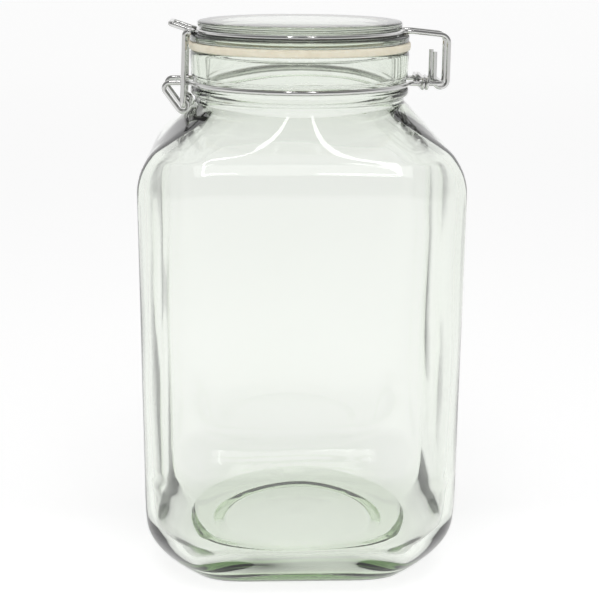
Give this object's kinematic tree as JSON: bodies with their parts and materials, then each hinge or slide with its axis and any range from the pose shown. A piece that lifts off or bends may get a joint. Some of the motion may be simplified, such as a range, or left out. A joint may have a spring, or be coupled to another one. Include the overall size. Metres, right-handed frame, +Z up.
{
  "type": "bail clamp jar",
  "caption": "Square glass storage jar with a round neck and a glass lid on a rubber ring, hinged by a bail wire and pulled shut by a wire clamp.",
  "frame": {"origin": "on the surface that the jar stands on, on the axis of the neck", "axes": "+Z up along the neck's axis, -X towards the clamp, +X towards the hinge, -Y the front face"},
  "size_m": [0.1354, 0.1354, 0.24],
  "materials": {
    "jar_glass": "clear pressed glass with a faint green tint",
    "lid_glass": "clear pressed glass with a faint green tint",
    "gasket_rubber": "matt cream rubber",
    "wire_chrome": "bright plated round wire"
  },
  "bodies": {
    "jar": {"jar_glass": "jar_glass", "neck_wire": "wire_chrome", "hinge_tie": "wire_chrome"},
    "lid_frame": {"lid_wire": "wire_chrome"},
    "lid": {"lid_glass": "lid_glass", "gasket": "gasket_rubber"},
    "latch": {"latch_wire": "wire_chrome"}
  },
  "joints": [
    {"name": "lid_hinge", "type": "hinge", "parent": "jar", "child": "lid_frame", "pos_m": [0.0605, 0, 0.214], "axis": [0, 1, 0], "range_deg": [0, 110]},
    {"name": "lid_turn", "type": "hinge", "parent": "lid_frame", "child": "lid", "pos_m": [0, 0, 0.2355], "axis": [0, 0, 1], "continuous": true},
    {"name": "latch_swing", "type": "hinge", "parent": "jar", "child": "latch", "pos_m": [-0.05, 0, 0.2044], "axis": [0, -1, 0], "range_deg": [0, 130]}
  ]
}
